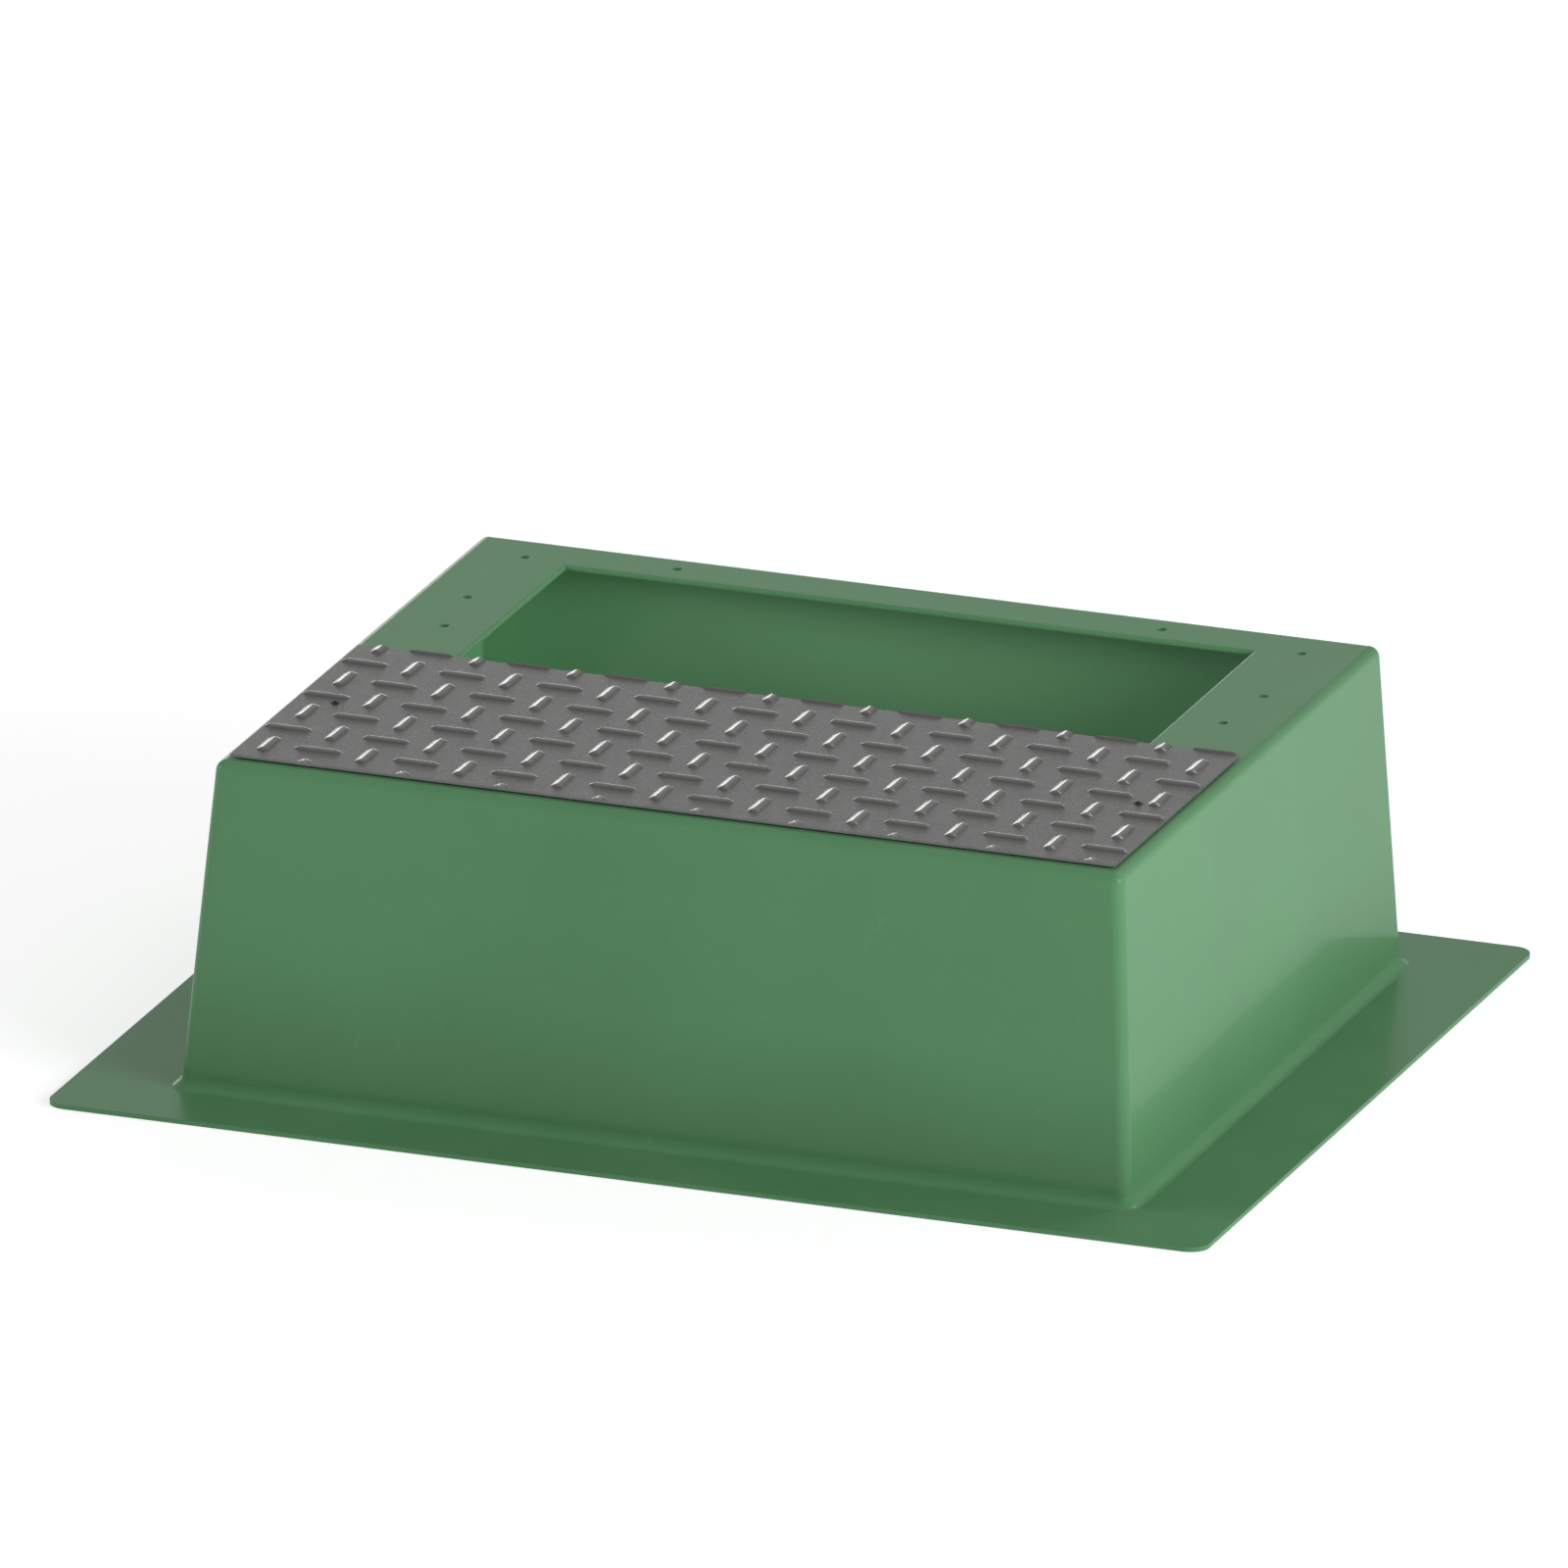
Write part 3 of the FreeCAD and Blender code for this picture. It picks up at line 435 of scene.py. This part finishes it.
def green_gelcoat(finish):
    """Glossy pigmented gelcoat, darker at its foot by painted shade; duller cloth inside, paler by
    painted light.
    """
    material, graph, shader = new_material(
        "green_gelcoat", IOR=1.5, Specular_IOR_Level=0.04, Coat_Roughness=0.12, Coat_IOR=1.5)
    grain = shared(graph, surface_grain, Grain_scale=520.0, Mottle_scale=3.5)
    dust = shared(graph, settled_dust, Amount=0.1, Scale=7.0)
    marks = shared(graph, handling_marks, Scale=16.0, Width=0.006)
    where = graph.own_position()
    normal = graph.place("ShaderNodeNewGeometry").outputs["Normal"]
    level = graph.parts_of(where)["Z"]
    inside = inside_of_shell(graph, where, normal, level)
    cloth = graph.calc("MULTIPLY", cloth_weave(graph, where), inside)

    green = finish.gelcoat
    colour = graph.blend(grain["Mottle"], shade(green, 0.955), shade(green, 1.04))
    # painted shade: the shell darkens towards the ground, as if the floor shaded its foot
    colour = graph.blend(painted_foot_shade(graph, level), colour, shade(green, 0.66))
    # painted light: the inside of the shell is made paler, standing in for light reaching in
    colour = graph.blend(inside, colour, shade(finish.laminate_painted_paler))
    colour = graph.blend(graph.calc("MULTIPLY", marks["Mask"], 0.12), colour, shade(green, 1.5))
    colour = graph.blend(dust["Mask"], colour, DUST_ON_GELCOAT)
    graph.feed(shader["Base Color"], colour)
    rough = graph.scale(grain["Mottle"], 0.0, 1.0, 0.38, 0.46)
    rough = graph.calc("ADD", rough, graph.calc("MULTIPLY", inside, 0.12))
    graph.feed(shader["Roughness"], rough)
    kept = graph.calc("SUBTRACT", 1.0, dull_fillet(graph, level))
    graph.feed(shader["Coat Weight"], graph.calc("MULTIPLY", kept, finish.gelcoat_gloss))
    height = graph.calc("ADD", graph.calc("MULTIPLY", grain["Grain"], 0.12), cloth)
    graph.feed(shader["Normal"], bump(graph, height, 0.12, 0.0004))
    return material


def tread_metal(finish, sheet_face, crest):
    """Rolled sheet with fine grain and dust; lugs lighter towards the ridges: rubbed wear and
    painted highlight.
    """
    material, graph, shader = new_material("tread_metal", Metallic=0.55)
    grain = shared(
        graph, surface_grain, Stretch=(0.4, 1.0, 1.0), Grain_scale=380.0, Mottle_scale=40.0)
    dust = shared(graph, settled_dust, Amount=0.16, Scale=14.0)
    marks = shared(graph, handling_marks, Scale=30.0, Width=0.008)
    level = graph.parts_of(graph.own_position())["Z"]
    height = crest - sheet_face
    # rubbed: lugs lighter towards the top, partly wear and partly a painted highlight
    rubbed = graph.scale(level, sheet_face + 0.25 * height, sheet_face + 0.75 * height, 0.0, 1.0)
    metal = finish.tread_metal
    colour = graph.blend(grain["Mottle"], shade(metal, 0.93), shade(metal, 1.07))
    colour = graph.blend(graph.calc("MULTIPLY", grain["Grain"], 0.4), colour, shade(metal, 0.7))
    colour = graph.blend(graph.calc("MULTIPLY", rubbed, 0.8), colour, shade(finish.lug_flank_worn_highlight))
    # ridge: the ridges lightest, a painted highlight as well as wear
    ridge = graph.scale(level, sheet_face + 0.8 * height, crest, 0.0, 1.0)
    colour = graph.blend(ridge, colour, shade(finish.lug_ridge_worn_highlight))
    colour = graph.blend(graph.calc("MULTIPLY", marks["Mask"], 0.2), colour, shade(metal, 1.6))
    colour = graph.blend(dust["Mask"], colour, DUST_ON_SHEET)
    graph.feed(shader["Base Color"], colour)
    rough = graph.scale(grain["Grain"], 0.0, 1.0, 0.2, 0.28)
    rough = graph.calc("SUBTRACT", rough, graph.calc("MULTIPLY", rubbed, 0.05))
    graph.feed(shader["Roughness"], rough)
    graph.feed(shader["Normal"], bump(graph, grain["Grain"], 0.1, 0.0002))
    return material


def galvanised_steel(finish):
    """Hot-dip zinc with its large crystals, dulled where dust has settled."""
    material, graph, shader = new_material("galvanised_steel", Metallic=1.0)
    grain = shared(graph, surface_grain, Grain_scale=300.0, Mottle_scale=18.0)
    dust = shared(graph, settled_dust, Amount=0.3, Scale=20.0)
    crystals = graph.place("ShaderNodeTexVoronoi", None, {
        "Vector": graph.own_position(), "Scale": 110.0}).outputs["Color"]
    spangle = graph.place("ShaderNodeRGBToBW", None, {"Color": crystals}).outputs[0]
    steel = finish.galvanised
    colour = graph.blend(spangle, shade(steel, 0.82), shade(steel, 1.15))
    colour = graph.blend(graph.calc("MULTIPLY", grain["Mottle"], 0.3), colour, shade(steel, 0.7))
    colour = graph.blend(dust["Mask"], colour, DUST_ON_STEEL)
    graph.feed(shader["Base Color"], colour)
    graph.feed(shader["Roughness"], graph.scale(spangle, 0.0, 1.0, 0.34, 0.52))
    graph.feed(shader["Normal"], bump(graph, grain["Grain"], 0.15, 0.0003))
    return material


def zinc_fastener(finish):
    """Bright zinc plate on turned and forged bolts."""
    material, graph, shader = new_material("zinc_fastener", Metallic=1.0)
    grain = shared(graph, surface_grain, Grain_scale=1400.0, Mottle_scale=60.0)
    marks = shared(graph, handling_marks, Scale=160.0, Width=0.03)
    zinc = finish.zinc
    colour = graph.blend(grain["Mottle"], shade(zinc, 0.85), shade(zinc, 1.1))
    colour = graph.blend(graph.calc("MULTIPLY", marks["Mask"], 0.5), colour, shade(zinc, 0.6))
    graph.feed(shader["Base Color"], colour)
    graph.feed(shader["Roughness"], graph.scale(grain["Grain"], 0.0, 1.0, 0.28, 0.42))
    graph.feed(shader["Normal"], bump(graph, grain["Grain"], 0.1, 0.0001))
    return material


def dark_screw(finish):
    """Black oxide, with lighter scratches where it is rubbed thin."""
    material, graph, shader = new_material("dark_screw", Metallic=0.6)
    grain = shared(graph, surface_grain, Grain_scale=2200.0, Mottle_scale=120.0)
    marks = shared(graph, handling_marks, Scale=300.0, Width=0.04)
    black = finish.black_oxide
    colour = graph.blend(grain["Mottle"], shade(black, 0.8), shade(black, 1.3))
    colour = graph.blend(graph.calc("MULTIPLY", marks["Mask"], 0.5), colour, shade(black, 4.0))
    graph.feed(shader["Base Color"], colour)
    graph.feed(shader["Roughness"], graph.scale(grain["Grain"], 0.0, 1.0, 0.36, 0.5))
    graph.feed(shader["Normal"], bump(graph, grain["Grain"], 0.12, 0.0001))
    return material


def seal_rubber(finish):
    """Cellular rubber strip with a skin, greyed by dust."""
    material, graph, shader = new_material("seal_rubber", Specular_IOR_Level=0.3)
    grain = shared(graph, surface_grain, Grain_scale=1100.0, Mottle_scale=30.0)
    dust = shared(graph, settled_dust, Amount=0.35, Scale=25.0)
    rubber = finish.rubber
    colour = graph.blend(grain["Mottle"], shade(rubber, 0.8), shade(rubber, 1.4))
    colour = graph.blend(dust["Mask"], colour, DUST_ON_RUBBER)
    graph.feed(shader["Base Color"], colour)
    graph.feed(shader["Roughness"], graph.scale(grain["Grain"], 0.0, 1.0, 0.62, 0.85))
    graph.feed(shader["Normal"], bump(graph, grain["Grain"], 0.3, 0.0003))
    return material


def finish_node(node, material):
    """Gives a CAD node its finish."""
    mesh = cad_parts[node].data
    mesh.materials.clear()
    mesh.materials.append(material)


# ---------------------------------------------------------------- tread cover


def lug_outline(cover, inset):
    """Points round a lug about its centre, pulled in from its foot; its length lies along X."""
    half_width = cover.lug_width / 2 - inset
    end = cover.lug_end - inset
    shoulder = cover.lug_length / 2 - cover.lug_end
    points = []
    for sign in (1, -1):
        for step in range(LUG_END_STEPS + 1):
            turn = math.pi * (step / LUG_END_STEPS - 0.5)
            points.append((sign * (shoulder + end * math.cos(turn)),
                           sign * half_width * math.sin(turn)))
    return points


def lug_centres(cover, low, high):
    """Centres of every lug that reaches onto the cover, and whether each lies along X."""
    reach = cover.lug_length / 2
    column = 0
    x = low.x + cover.first_column
    while x < high.x + reach:
        row = 0
        y = low.y + cover.first_row
        while y < high.y + reach:
            yield x, y, (column + row) % 2 == 0
            row += 1
            y += cover.pitch_along
        column += 1
        x += cover.pitch_across


def lug_rings(cover, x, y, along_x, face):
    """Rings of points from a lug's foot up to its ridge."""
    rings = []
    for inset, rise in LUG_RINGS:
        ring = lug_outline(cover, inset * cover.lug_width / 2)
        if not along_x:
            ring = [(-across, along) for along, across in ring]
        rings.append([Vector((x + dx, y + dy, face + rise * cover.lug_height))
                      for dx, dy in ring])
    return rings


def join_rings(mesh, below, above):
    """Closes the band between two rings of as many points."""
    for index, vertex in enumerate(below):
        following = (index + 1) % len(below)
        mesh.faces.new((vertex, below[following], above[following], above[index]))


def rolled_sheet(cover, low, high, face):
    """The uncut sheet as a closed mesh: a flat face with every lug raised on it."""
    margin = cover.lug_length
    corners = [(low.x - margin, low.y - margin), (high.x + margin, low.y - margin),
               (high.x + margin, high.y + margin), (low.x - margin, high.y + margin)]
    flat = [Vector(corner) for corner in corners]
    loops = [[0, 1, 2, 3]]
    lugs = [lug_rings(cover, *place, face) for place in lug_centres(cover, low, high)]
    for rings in lugs:
        loops.append(list(range(len(flat), len(flat) + len(rings[0]))))
        flat += [point.to_2d() for point in rings[0]]
    edges = [pair for loop in loops for pair in zip(loop, loop[1:] + loop[:1])]
    places, _, faces, _, _, made_from = delaunay_2d_cdt(
        flat, edges, loops, FILL_INSIDE, TOLERANCE)

    mesh = bmesh.new()
    top = [mesh.verts.new((*place, face)) for place in places]
    for corners_of_face, origins in zip(faces, made_from):
        if not any(origin > 0 for origin in origins):
            mesh.faces.new([top[index] for index in corners_of_face])
    for loop, rings in zip(loops[1:], lugs):
        below = [top[index] for index in loop]
        for ring in rings[1:]:
            above = [mesh.verts.new(point) for point in ring]
            join_rings(mesh, below, above)
            below = above
        mesh.faces.new(below)
    rim = [top[index] for index in loops[0]]
    foot = [mesh.verts.new((*vertex.co.xy, low.z)) for vertex in rim]
    join_rings(mesh, foot, rim)
    mesh.faces.new(foot)
    bmesh.ops.recalc_face_normals(mesh, faces=mesh.faces)
    return mesh


def cut_to_size(mesh, low, high):
    """Cuts the sheet along the cover's four sides and closes each cut."""
    for point, outward in ((low, (-1, 0, 0)), (low, (0, -1, 0)),
                           (high, (1, 0, 0)), (high, (0, 1, 0))):
        everything = mesh.verts[:] + mesh.edges[:] + mesh.faces[:]
        cut = bmesh.ops.bisect_plane(mesh, geom=everything, dist=TOLERANCE, plane_co=point,
                                     plane_no=outward, clear_outer=True)["geom_cut"]
        bmesh.ops.edgenet_fill(mesh, edges=[e for e in cut if isinstance(e, bmesh.types.BMEdge)])
    bmesh.ops.recalc_face_normals(mesh, faces=mesh.faces)


def seat_cutter(cover, centre, face):
    """The stepped tool that mills a screw's seat and drills its hole."""
    seat = face - cover.seat_depth
    steps = ((cover.hole_radius, face - CUT_REACH), (cover.hole_radius, seat),
             (cover.seat_radius, seat), (cover.seat_radius, face + CUT_REACH))
    turns = [math.tau * step / HOLE_STEPS for step in range(HOLE_STEPS)]
    mesh = bmesh.new()
    rings = [[mesh.verts.new((centre.x + radius * math.cos(turn),
                              centre.y + radius * math.sin(turn), height)) for turn in turns]
             for radius, height in steps]
    for below, above in zip(rings, rings[1:]):
        join_rings(mesh, below, above)
    mesh.faces.new(rings[0])
    mesh.faces.new(rings[-1])
    bmesh.ops.recalc_face_normals(mesh, faces=mesh.faces)
    return mesh


def to_object(mesh, name):
    """Turns a bmesh into an object of the scene."""
    data = bpy.data.meshes.new(name)
    mesh.to_mesh(data)
    mesh.free()
    made = bpy.data.objects.new(name, data)
    bpy.context.scene.collection.objects.link(made)
    return made


def cut_away(target, tools):
    """Takes the tools' shapes out of the target for good, and removes the tools."""
    for tool in tools:
        step = target.modifiers.new(tool.name, "BOOLEAN")
        step.operation = "DIFFERENCE"
        step.solver = "EXACT"
        step.object = tool
    bpy.context.view_layer.update()
    ready = target.evaluated_get(bpy.context.evaluated_depsgraph_get())
    data = bpy.data.meshes.new_from_object(ready)
    target.modifiers.clear()
    spare, target.data = target.data, data
    bpy.data.meshes.remove(spare)
    for tool in tools:
        bpy.data.objects.remove(tool)


# ---------------------------------------------------------------- operators


class PLINTH_OT_shell(bpy.types.Operator):
    """Finishes the moulded shell in green gelcoat"""

    bl_idname = "plinth.shell"
    bl_label = "Moulded shell"

    def execute(self, context):
        finish_node("plinth_shell", green_gelcoat(context.scene.plinth_finish))
        return {"FINISHED"}


class PLINTH_OT_cover(bpy.types.Operator):
    """Builds the tread cover with its raised lugs and screw seats"""

    bl_idname = "plinth.cover"
    bl_label = "Tread cover"

    def execute(self, context):
        cover = context.scene.plinth_cover
        low, high = (Vector(corner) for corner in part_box("tread_cover"))
        face = high.z - cover.lug_height
        sheet = rolled_sheet(cover, low, high, face)
        cut_to_size(sheet, low, high)
        plate = to_object(sheet, "tread_plate")
        tools = []
        for side in SIDES:
            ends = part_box(f"cover_screw_{side}")
            centre = (Vector(ends[0]) + Vector(ends[1])) / 2
            tools.append(to_object(seat_cutter(cover, centre, face), f"seat_{side}"))
        cut_away(plate, tools)
        plate.data.shade_smooth()
        plate.data.set_sharp_from_angle(angle=SHARP_ANGLE)
        material = tread_metal(context.scene.plinth_finish, face, high.z)
        plate.data.materials.clear()
        plate.data.materials.append(material)
        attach(plate, "cover")
        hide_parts("tread_cover")
        return {"FINISHED"}


class PLINTH_OT_screws(bpy.types.Operator):
    """Finishes the cover screws in black oxide"""

    bl_idname = "plinth.screws"
    bl_label = "Cover screws"

    def execute(self, context):
        material = dark_screw(context.scene.plinth_finish)
        for side in SIDES:
            finish_node(f"cover_screw_{side}", material)
        return {"FINISHED"}


class PLINTH_OT_steelwork(bpy.types.Operator):
    """Finishes the bars, the rail and the cleats in galvanised steel"""

    bl_idname = "plinth.steelwork"
    bl_label = "Steel under the deck"

    def execute(self, context):
        material = galvanised_steel(context.scene.plinth_finish)
        for node in ("spreader_bar_left", "spreader_bar_right", "spreader_bar_rear",
                     "cover_rail", "rail_cleat_left", "rail_cleat_right"):
            finish_node(node, material)
        return {"FINISHED"}


class PLINTH_OT_fasteners(bpy.types.Operator):
    """Finishes the bolts and nuts in bright zinc"""

    bl_idname = "plinth.fasteners"
    bl_label = "Bolts and nuts"

    def execute(self, context):
        material = zinc_fastener(context.scene.plinth_finish)
        for side in SIDES:
            for kind in ("cover_nut", "rail_bolts", "rail_nuts", "cleat_bolts", "cleat_nuts"):
                finish_node(f"{kind}_{side}", material)
        return {"FINISHED"}


class PLINTH_OT_seals(bpy.types.Operator):
    """Finishes the sealing strips in dark rubber"""

    bl_idname = "plinth.seals"
    bl_label = "Sealing strips"

    def execute(self, context):
        material = seal_rubber(context.scene.plinth_finish)
        for place in ("front", "rear", "left", "right"):
            finish_node(f"seal_strip_{place}", material)
        return {"FINISHED"}


def seen_directly(graph):
    """1 for rays from the camera, and for those that a glossy or a clear surface sends on."""
    path = graph.place("ShaderNodeLightPath").outputs
    gloss = graph.calc("MAXIMUM", path["Is Glossy Ray"], path["Is Transmission Ray"])
    return graph.calc("MAXIMUM", path["Is Camera Ray"], gloss)


def make_floor(stage):
    """A wide pale floor that keeps the object's shadow, and glows more where no lamp reaches."""
    mesh = bmesh.new()
    mesh.faces.new([mesh.verts.new((x * FLOOR_HALF, y * FLOOR_HALF, -FLOOR_DROP))
                    for x, y in ((-1, -1), (1, -1), (1, 1), (-1, 1))])
    floor = to_object(mesh, "floor")
    material, graph, shader = new_material(
        "pale_floor", Roughness=0.9, Specular_IOR_Level=0.0, Emission_Color=(1, 1, 1, 1))
    shader["Base Color"].default_value = shade(stage.floor)
    away = graph.place("ShaderNodeVectorMath", {"operation": "LENGTH"})
    graph.feed(away.inputs[0], graph.own_position())
    glow = graph.scale(away.outputs["Value"], FADE_START, FADE_END, stage.floor_glow,
                       stage.far_glow, smooth=True)
    graph.feed(shader["Emission Strength"], graph.calc("MULTIPLY", seen_directly(graph), glow))
    floor.data.materials.append(material)


def make_studio(stage):
    """Light from pale walls; what is seen is a white backdrop under a greyer ceiling."""
    world = bpy.data.worlds.new("studio")
    world.use_nodes = True
    world.node_tree.nodes.clear()
    graph = Graph(world.node_tree)
    direction = graph.place("ShaderNodeTexCoord").outputs["Generated"]
    rise = graph.parts_of(direction)["Z"]  # the sine of the height above the horizon
    walls = graph.scale(rise, 0.05, 0.2, 0.0, stage.walls, smooth=True)
    lighting = graph.scale(rise, 0.45, 0.6, walls, stage.zenith, smooth=True)
    backdrop = graph.scale(rise, 0.08, 0.28, stage.backdrop, stage.ceiling, smooth=True)
    light = graph.place("ShaderNodeBackground", None, {
        "Strength": graph.scale(seen_directly(graph), 0.0, 1.0, lighting, backdrop)})
    light.inputs["Color"].default_value = (1.0, 1.0, 1.0, 1.0)
    graph.place("ShaderNodeOutputWorld", None, {"Surface": light.outputs[0]})
    bpy.context.scene.world = world


def direction_to(azimuth, elevation):
    """The way from the object: round from its front to the right, and up."""
    return Vector((math.sin(azimuth) * math.cos(elevation),
                   -math.cos(azimuth) * math.cos(elevation), math.sin(elevation)))


def make_lamp(name, level, azimuth, elevation, width, height):
    """A soft lamp aimed at the object; level is how bright it makes a white card there."""
    away = direction_to(math.radians(azimuth), math.radians(elevation))
    data = bpy.data.lights.new(name, "AREA")
    data.shape = "RECTANGLE"
    data.size, data.size_y = width, height
    data.energy = level * (math.pi * LAMP_DISTANCE) ** 2
    lamp = bpy.data.objects.new(name, data)
    lamp.location = away * LAMP_DISTANCE + Vector((0, 0, CAD_BOX[1].z / 2))
    lamp.rotation_euler = away.to_track_quat("Z", "Y").to_euler()
    bpy.context.scene.collection.objects.link(lamp)


def make_camera(stage):
    """A camera with a very long lens, aimed from the front and a little above."""
    right = Vector((math.cos(stage.azimuth), math.sin(stage.azimuth), 0))
    back = direction_to(stage.azimuth, stage.elevation)
    up = back.cross(right)
    across = right * math.cos(stage.roll) + up * math.sin(stage.roll)
    upward = up * math.cos(stage.roll) - right * math.sin(stage.roll)
    camera = bpy.data.objects.new("camera", bpy.data.cameras.new("camera"))
    camera.data.lens = stage.lens
    camera.data.clip_start, camera.data.clip_end = 1.0, 3 * stage.distance
    camera.matrix_world = Matrix.Translation(Vector(stage.aim) + back * stage.distance) @ Matrix(
        (across, upward, back)).transposed().to_4x4()
    bpy.context.scene.collection.objects.link(camera)
    bpy.context.scene.camera = camera


class PLINTH_OT_stage(bpy.types.Operator):
    """Lays the floor, lights the studio and sets up the camera"""

    bl_idname = "plinth.stage"
    bl_label = "Stage"

    def execute(self, context):
        stage = context.scene.plinth_stage
        context.scene.view_settings.view_transform = "Standard"
        make_floor(stage)
        make_studio(stage)
        make_lamp("key_right", stage.key, azimuth=68, elevation=18, width=4.5, height=3.2)
        make_lamp("fill_left", stage.fill, azimuth=285, elevation=22, width=3.0, height=2.0)
        make_lamp("rear_high", stage.rear, azimuth=150, elevation=45, width=2.4, height=2.0)
        make_lamp("rear_low", stage.skim, azimuth=203, elevation=7, width=3.0, height=1.0)
        make_camera(stage)
        return {"FINISHED"}


class PLINTH_PT_panel(bpy.types.Panel):
    """Lists the steps in the order in which they are taken"""

    bl_label = "Ground plinth"
    bl_idname = "PLINTH_PT_panel"
    bl_space_type = "VIEW_3D"
    bl_region_type = "UI"
    bl_category = "Plinth"

    def draw(self, context):
        for group in SETTINGS:
            owner = getattr(context.scene, group)
            box = self.layout.box()
            for name in owner.__annotations__:
                box.prop(owner, name)
        for step in STEPS:
            self.layout.operator(step.bl_idname)


SETTINGS = {
    "plinth_finish": FinishSettings,
    "plinth_cover": CoverSettings,
    "plinth_stage": StageSettings,
}
STEPS = (PLINTH_OT_shell, PLINTH_OT_cover, PLINTH_OT_screws, PLINTH_OT_steelwork,
         PLINTH_OT_fasteners, PLINTH_OT_seals, PLINTH_OT_stage)


def register():
    for group in SETTINGS.values():
        bpy.utils.register_class(group)
    for step in STEPS:
        bpy.utils.register_class(step)
    bpy.utils.register_class(PLINTH_PT_panel)
    for name, group in SETTINGS.items():
        setattr(bpy.types.Scene, name, bpy.props.PointerProperty(type=group))


def unregister():
    for name in SETTINGS:
        delattr(bpy.types.Scene, name)
    bpy.utils.unregister_class(PLINTH_PT_panel)
    for step in reversed(STEPS):
        bpy.utils.unregister_class(step)
    for group in SETTINGS.values():
        bpy.utils.unregister_class(group)


def main():
    register()
    bpy.ops.plinth.shell()
    bpy.ops.plinth.cover()
    bpy.ops.plinth.screws()
    bpy.ops.plinth.steelwork()
    bpy.ops.plinth.fasteners()
    bpy.ops.plinth.seals()
    bpy.ops.plinth.stage()


if __name__ == "__main__":
    main()
